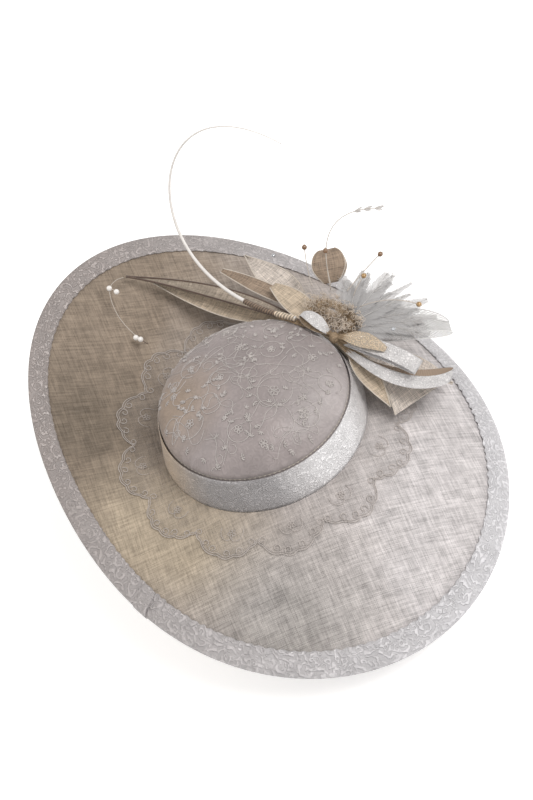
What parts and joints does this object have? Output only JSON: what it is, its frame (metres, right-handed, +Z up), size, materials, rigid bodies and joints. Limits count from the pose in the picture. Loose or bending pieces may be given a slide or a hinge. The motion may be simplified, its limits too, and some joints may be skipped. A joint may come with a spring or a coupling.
{
  "type": "fascinator headpiece",
  "caption": "Wide-brimmed fascinator headpiece: oval swept brim, small domed crown, feather and ribbon side trim, worn on a sprung headband.",
  "frame": {"origin": "middle of the crown's foot, in the plane of the brim's top face, where the head sits", "axes": "+Z up along the crown's axis; the wearer faces -Y; +X is the wearer's left, the side with the trim"},
  "size_m": [0.374, 0.4472, 0.2748],
  "materials": {
    "sinamay": "open plain weave",
    "jacquard": "embossed, slight sheen",
    "satin_lace": "satin under embroidered net",
    "corded_lace": "corded edge on sheer net",
    "buckram": "stiffened",
    "lining": "smooth",
    "petersham": "ribbed ribbon",
    "spring_steel": "plain",
    "band_tip": "matt",
    "felt": "felted",
    "net": "crinkled net",
    "dark_edge_sinamay": "open weave with dark edge",
    "leaf_sinamay": "open weave",
    "loop_sinamay": "open weave",
    "feather": "vaned",
    "crin": "open mesh",
    "glitter_lace": "lace with gold thread",
    "quill": "smooth",
    "wired_bead": "gloss",
    "gold_bead": "pearlised gloss",
    "pearl": "pearl gloss",
    "stone": "faceted"
  },
  "bodies": {
    "hat": {"brim_upper": "sinamay", "brim_under": "sinamay", "edge_wire": "spring_steel", "brim_binding": "jacquard", "binding_join": "jacquard", "crown_base": "buckram", "crown_cover": "satin_lace", "crown_lining": "lining", "crown_band": "jacquard", "lace_collar": "corded_lace", "head_ring": "petersham", "headband_spring": "spring_steel", "headband_sleeve": "petersham", "sewing_tabs": "petersham", "trim_pad": "felt", "trim_knot": "net", "net_rosette": "net", "long_leaf": "dark_edge_sinamay", "wide_leaf": "leaf_sinamay", "round_loop": "loop_sinamay", "back_leaf": "leaf_sinamay", "folded_leaf": "leaf_sinamay", "bud_loop": "jacquard", "top_loop": "loop_sinamay", "feather_pad": "feather", "crin_loop": "crin", "short_loop": "jacquard", "long_loop": "jacquard", "glitter_leaf": "glitter_lace", "fan_leaf_front": "leaf_sinamay", "fan_leaf_middle": "leaf_sinamay", "fan_leaf_side": "leaf_sinamay", "diamantes": "stone"},
    "left_arm": {"left_arm_spring": "spring_steel", "left_arm_sleeve": "petersham", "left_tip": "band_tip"},
    "right_arm": {"right_arm_spring": "spring_steel", "right_arm_sleeve": "petersham", "right_tip": "band_tip"},
    "quill_body": {"quill": "quill", "quill_binding": "dark_edge_sinamay"},
    "arrow_body": {"arrow_feather": "feather"},
    "bead_back": {"bead_stem_back": "wired_bead"},
    "bead_top": {"bead_stem_top": "wired_bead"},
    "bead_gold": {"bead_stem_gold": "gold_bead"},
    "bead_tall": {"bead_stem_tall": "wired_bead"},
    "bead_side": {"bead_stem_side": "gold_bead"},
    "pearls": {"pearl_spray": "pearl"}
  },
  "joints": [
    {"name": "left_arm_flex", "type": "hinge", "parent": "hat", "child": "left_arm", "pos_m": [0.071, 0, -0.0015], "axis": [0, -1, 0], "range_deg": [-2, 12], "stiffness_Nm_per_rad": 0.6},
    {"name": "right_arm_flex", "type": "hinge", "parent": "hat", "child": "right_arm", "pos_m": [-0.071, 0, -0.0015], "axis": [0, 1, 0], "range_deg": [-2, 12], "stiffness_Nm_per_rad": 0.6},
    {"name": "quill_sway", "type": "hinge", "parent": "hat", "child": "quill_body", "pos_m": [0.06, 0.047, 0.0545], "axis": [0, 0, 1], "range_deg": [-5, 5], "stiffness_Nm_per_rad": 0.06},
    {"name": "arrow_feather_sway", "type": "hinge", "parent": "hat", "child": "arrow_body", "pos_m": [0.1, 0.062, 0.06], "axis": [0, 0, 1], "range_deg": [-5, 5], "stiffness_Nm_per_rad": 0.005},
    {"name": "back_bead_nod", "type": "hinge", "parent": "hat", "child": "bead_back", "pos_m": [0.086, 0.077, 0.053], "axis": [1, 0, 0], "range_deg": [-5, 5], "stiffness_Nm_per_rad": 0.005},
    {"name": "top_bead_nod", "type": "hinge", "parent": "hat", "child": "bead_top", "pos_m": [0.098, 0.057, 0.059], "axis": [0, 1, 0], "range_deg": [-5, 5], "stiffness_Nm_per_rad": 0.005},
    {"name": "gold_bead_nod", "type": "hinge", "parent": "hat", "child": "bead_gold", "pos_m": [0.113, 0.042, 0.057], "axis": [0, 1, 0], "range_deg": [-5, 5], "stiffness_Nm_per_rad": 0.005},
    {"name": "tall_bead_nod", "type": "hinge", "parent": "hat", "child": "bead_tall", "pos_m": [0.11, 0.05, 0.057], "axis": [0, 1, 0], "range_deg": [-5, 5], "stiffness_Nm_per_rad": 0.005},
    {"name": "side_bead_nod", "type": "hinge", "parent": "hat", "child": "bead_side", "pos_m": [0.113, 0.028, 0.056], "axis": [0.4789, 0.8779, 0], "range_deg": [-4, 4], "stiffness_Nm_per_rad": 0.005},
    {"name": "pearl_spray_sway", "type": "hinge", "parent": "hat", "child": "pearls", "pos_m": [-0.066, 0.174, 0.063], "axis": [0, 0, 1], "range_deg": [-5, 5], "stiffness_Nm_per_rad": 0.005}
  ],
  "couplings": [
    {"joint": "right_arm_flex", "follows": "left_arm_flex", "ratio": 1}
  ]
}
